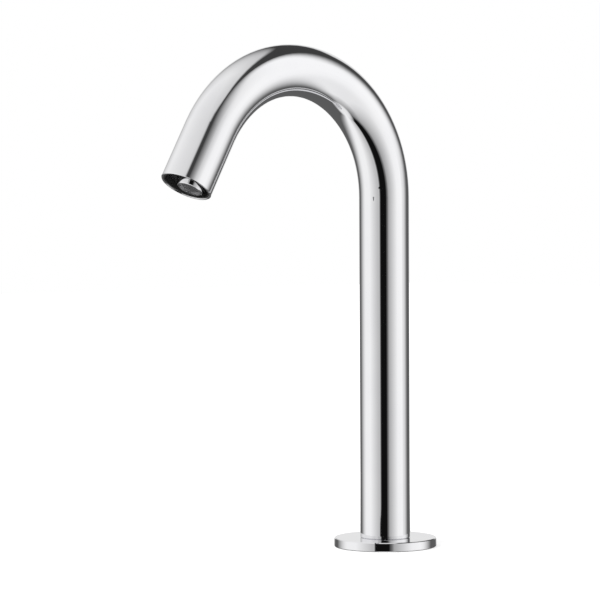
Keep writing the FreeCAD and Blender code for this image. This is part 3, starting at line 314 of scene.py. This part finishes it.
def studio_world():
    """What the polished metal mirrors: pale panels left, right, above and behind, with dark
    gaps between them, and a black strip that runs under the camera. Its edges and levels are
    fitted to the reflections seen from the camera. Other rays see a plain grey, and the camera
    sees white."""
    world = bpy.data.worlds.new("studio")
    world.use_nodes = True
    graph = Graph(world.node_tree)
    place = graph.node("ShaderNodeTexCoord").outputs["Generated"]
    split = graph.node("ShaderNodeSeparateXYZ", {"Vector": place})
    x, y, z = (split.outputs[axis] for axis in "XYZ")
    sine, cosine = math.sin(CAMERA_AZIMUTH), math.cos(CAMERA_AZIMUTH)
    u = graph.add(graph.times(x, cosine), graph.times(y, sine))
    v = graph.add(graph.times(x, sine), graph.times(y, -cosine))
    turn = graph.times(graph.math("ARCTAN2", u, v), math.degrees(1))

    # Overhead panel. Slanting gaps end it at its right and in front, and it fades towards the back.
    side = graph.add(u, graph.times(v, -0.16), graph.times(z, -0.4))
    front = graph.add(u, graph.times(v, 0.75), graph.times(z, -0.85))
    back = graph.add(graph.times(u, 0.537), graph.times(v, -0.843), graph.times(z, 0.033))
    above = graph.times(
        graph.add(graph.step(side, -0.08, -0.21, 0, 0.86), graph.slope(side, -0.2, -0.6, 0, 0.14)),
        graph.slope(v, -0.3, 0.7, 1.02, 0.84),
        graph.step(front, 0.13, -0.10),
        graph.slope(back, 0, 0.42, 1, 0.75),
        graph.step(back, 0.85, 0.36),
        graph.step(z, 0, 0.12),
    )

    # Left panel, darker towards the camera.
    left = graph.times(
        graph.step(turn, -150, -92),
        graph.slope(turn, -70, -28, 1.08, 0.62),
        graph.step(turn, -16.5, -23),
        graph.step(z, 0.3, 0.1),
    )

    # Right panel, up to another slanting gap. Higher up it reaches further back.
    edge = graph.add(graph.times(u, 0.886), graph.times(v, 0.196), graph.times(z, -0.42))
    soft = graph.slope(z, 0.86, 0.49, 0.13, 0.5)
    right = graph.times(
        graph.step(graph.add(turn, graph.step(z, 0, 0.15, 0, -11)), 135, 86),
        graph.slope(turn, 9, 20),
        graph.slope(turn, 16, 62, 0.42, 1.1),
        graph.slope(turn, 62, 90, 1, 1.06),
        graph.step(z, -0.5, 0, 0.88, 1),
        graph.slope(z, -0.97, -0.85, 0.5, 1),
        graph.largest(graph.slope(turn, 50, 78, 0.86, 1), graph.step(z, 0.45, 0.15, 0.86, 1)),
        graph.slope(graph.math("DIVIDE", graph.add(edge, -0.04), soft), 0, 1),
    )

    # White sheet behind, between two dark flags.
    across = graph.math("ABSOLUTE", turn)
    behind = graph.times(
        graph.step(across, 150, 162),
        graph.step(z, -0.14, -0.10),
        graph.step(graph.add(z, graph.times(u, -0.2)), 0.5, 0.38, 0, 0.85),
    )

    # Black strip. It is wider in the narrow band that the flange's wall mirrors.
    rest = graph.step(z, 0.6, -0.1, 0.05, 0.12)
    shown = graph.largest(above, left, right, behind, rest)
    wider = graph.times(graph.step(z, -0.112, -0.118, 0, 7), graph.step(z, -0.146, -0.140))
    strip = graph.times(
        graph.step(graph.add(turn, wider), -18.5, -15),
        graph.step(turn, 13, 8),
        graph.step(z, 0.2, 0.12),
    )
    uncovered = graph.math("SUBTRACT", 1.0, strip)
    shown = graph.add(graph.times(shown, uncovered), MIRRORED_BLACK)
    mirrored = graph.largest(shown, graph.step(z, -0.955, -0.995))

    path = graph.node("ShaderNodeLightPath")
    glancing = graph.largest(path.outputs["Is Glossy Ray"], path.outputs["Is Transmission Ray"])
    plain = graph.mix(glancing, grey(WORLD_LIGHT), mirrored)
    colour = graph.mix(path.outputs["Is Camera Ray"], plain, grey(1.0))
    light = graph.node("ShaderNodeBackground", {"Color": colour, "Strength": 1.0})
    out = graph.node("ShaderNodeOutputWorld")
    graph.feed(out.inputs["Surface"], light.outputs["Background"])
    bpy.context.scene.world = world


def floor():
    """A white sheet that keeps the tap's soft shadow near its foot and runs out to plain white.
    It is clear from below, and the metal doesn't mirror it."""
    mesh = bpy.data.meshes.new("floor")
    half, level = FLOOR_HALF, -FLOOR_DROP
    corners = [(-half, -half, level), (half, -half, level), (half, half, level), (-half, half, level)]
    mesh.from_pydata(corners, [], [(0, 1, 2, 3)])
    sheet = bpy.data.objects.new("floor", mesh)
    bpy.context.scene.collection.objects.link(sheet)
    sheet.visible_glossy = False
    made = bpy.data.materials.new("floor")
    made.use_nodes = True
    graph = Graph(made.node_tree)
    where = graph.node("ShaderNodeTexCoord").outputs["Object"]
    away = graph.node("ShaderNodeVectorMath", {0: where}, operation="LENGTH").outputs["Value"]
    path = graph.node("ShaderNodeLightPath")
    diffuse = graph.node("ShaderNodeBsdfDiffuse", {"Color": grey(0.8)})
    lift = graph.times(path.outputs["Is Camera Ray"], graph.slope(away, 0.05, 0.45, FLOOR_LIFT, 1.0))
    white = graph.node("ShaderNodeEmission", {"Color": grey(1.0), "Strength": lift})
    both = graph.node("ShaderNodeAddShader", {0: diffuse.outputs[0], 1: white.outputs[0]})
    clear = graph.node("ShaderNodeBsdfTransparent")
    under = graph.node("ShaderNodeNewGeometry").outputs["Backfacing"]
    sides = graph.node("ShaderNodeMixShader", {0: under, 1: both.outputs[0], 2: clear.outputs[0]})
    out = graph.node("ShaderNodeOutputMaterial")
    graph.feed(out.inputs["Surface"], sides.outputs[0])
    mesh.materials.append(made)


def lamp(name, turn, rise, distance, size, power):
    """A soft square lamp that shines at the middle of the tap. The metal doesn't mirror it and the
    camera doesn't see it."""
    data = bpy.data.lights.new(name, "AREA")
    data.shape, data.size, data.energy = "SQUARE", size, power
    made = bpy.data.objects.new(name, data)
    bpy.context.scene.collection.objects.link(made)
    a, e = CAMERA_AZIMUTH + math.radians(turn), math.radians(rise)
    back = Matrix.Rotation(a, 3, "Z") @ Matrix.Rotation(math.pi / 2 - e, 3, "X")
    away = Matrix.Translation((0.0, 0.0, distance))
    made.matrix_world = Matrix.Translation(LAMP_AIM) @ back.to_4x4() @ away
    made.visible_camera = made.visible_glossy = False


def camera():
    """The camera, at the photograph's angle and distance."""
    a, p, r = CAMERA_AZIMUTH + CAMERA_YAW, CAMERA_PITCH, CAMERA_ROLL
    data = bpy.data.cameras.new("camera")
    data.sensor_width, data.lens = FILM_WIDTH, FOCAL_LENGTH
    made = bpy.data.objects.new("camera", data)
    bpy.context.scene.collection.objects.link(made)
    place = Matrix.Translation(
        (
            math.sin(CAMERA_AZIMUTH) * CAMERA_DISTANCE,
            -math.cos(CAMERA_AZIMUTH) * CAMERA_DISTANCE,
            CAMERA_HEIGHT,
        )
    )
    turned = Matrix.Rotation(a, 4, "Z") @ Matrix.Rotation(math.pi / 2 + p, 4, "X")
    made.matrix_world = place @ turned @ Matrix.Rotation(r, 4, "Z")
    bpy.context.scene.camera = made


studio_world()
floor()
lamp("key", -55, 50, 1.2, 0.7, 9.0)
lamp("fill", 60, 30, 1.4, 0.9, 5.0)
camera()
bpy.context.scene.view_settings.view_transform = "Standard"
